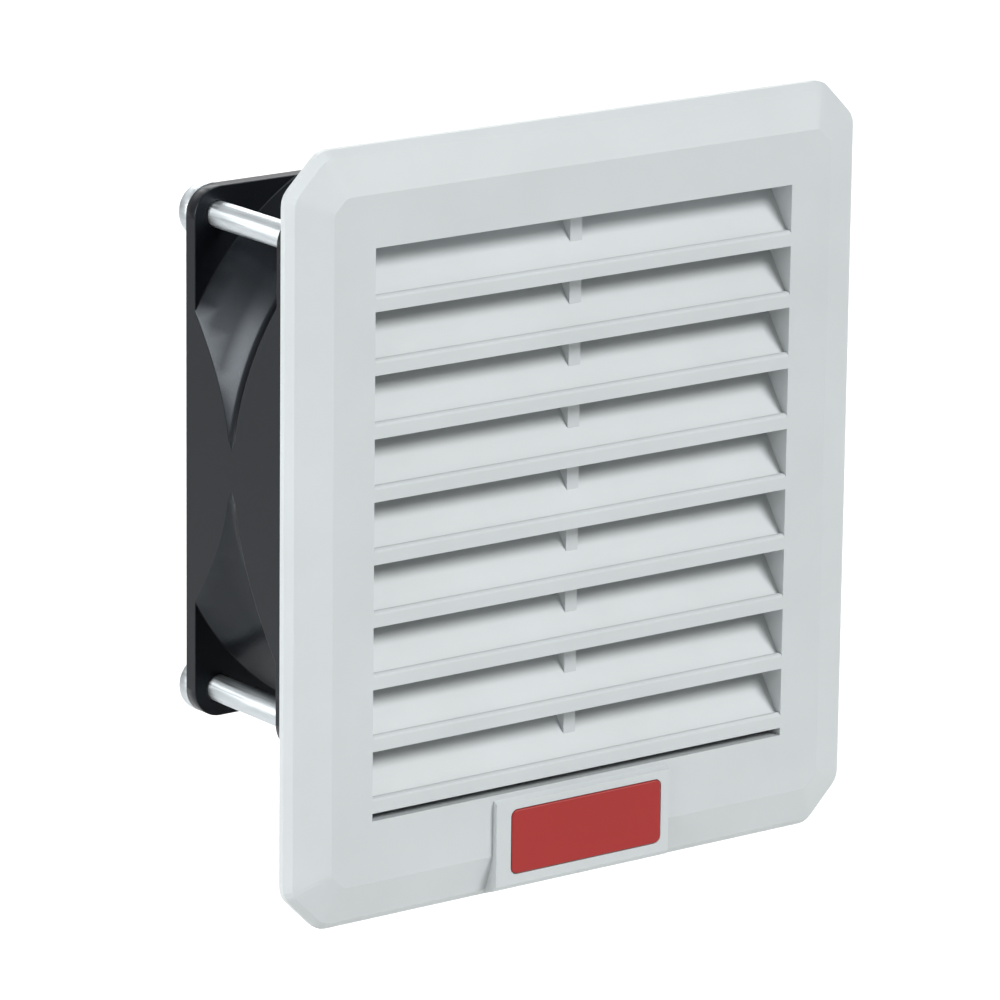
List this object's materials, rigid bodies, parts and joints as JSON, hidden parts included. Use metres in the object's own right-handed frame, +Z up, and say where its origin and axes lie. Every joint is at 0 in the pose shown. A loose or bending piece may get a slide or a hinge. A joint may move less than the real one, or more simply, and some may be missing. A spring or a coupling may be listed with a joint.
{
  "type": "cabinet filter fan",
  "caption": "Square louvred cover with a red pull badge, hinged on a snap-in frame with a filter mat and an axial fan screwed on behind it, for cooling a cabinet through its panel.",
  "frame": {"origin": "middle of the panel cut-out, on the panel's outer face", "axes": "+Z up, -Y out of the cabinet towards the viewer of the cover, +Y into the cabinet"},
  "size_m": [0.102, 0.0481, 0.114],
  "materials": {
    "cover_plastic": "fine grained moulded plastic",
    "frame_plastic": "fine grained moulded plastic",
    "foam": "closed cell foam",
    "fibre": "loose bonded fibre",
    "red_plate": "satin",
    "fan_plastic": "satin glass filled plastic",
    "zinc_steel": "bright zinc plate",
    "steel": "ground",
    "spring_steel": "rolled strip",
    "core_steel": "stamped",
    "brass": "turned",
    "copper_wire": "enamelled wire",
    "board": "solder mask",
    "magnet": "bonded ferrite"
  },
  "bodies": {
    "frame": {"mounting_frame": "frame_plastic", "panel_gasket": "foam", "panel_clips": "spring_steel", "threaded_inserts": "brass", "filter_mat": "fibre", "hinge_pins": "steel", "fan_housing": "fan_plastic", "fan_screws": "zinc_steel", "terminal_block": "fan_plastic", "terminal_tabs": "zinc_steel", "front_bearing": "steel", "rear_bearing": "steel", "stator_core": "core_steel", "stator_coils": "copper_wire", "circuit_board": "board"},
    "cover": {"front_cover": "cover_plastic", "badge_plate": "red_plate"},
    "rotor": {"impeller": "fan_plastic", "rotor_yoke": "core_steel", "magnet_ring": "magnet", "rotor_shaft": "steel", "preload_spring": "spring_steel", "shaft_clip": "spring_steel"}
  },
  "joints": [
    {"name": "cover_hinge", "type": "hinge", "parent": "frame", "child": "cover", "pos_m": [0, -0.00225, 0.0537], "axis": [-1, 0, 0], "range_deg": [0, 75]},
    {"name": "impeller_spin", "type": "hinge", "parent": "frame", "child": "rotor", "pos_m": [0, 0.02565, 0.0024], "axis": [0, 1, 0], "continuous": true}
  ]
}
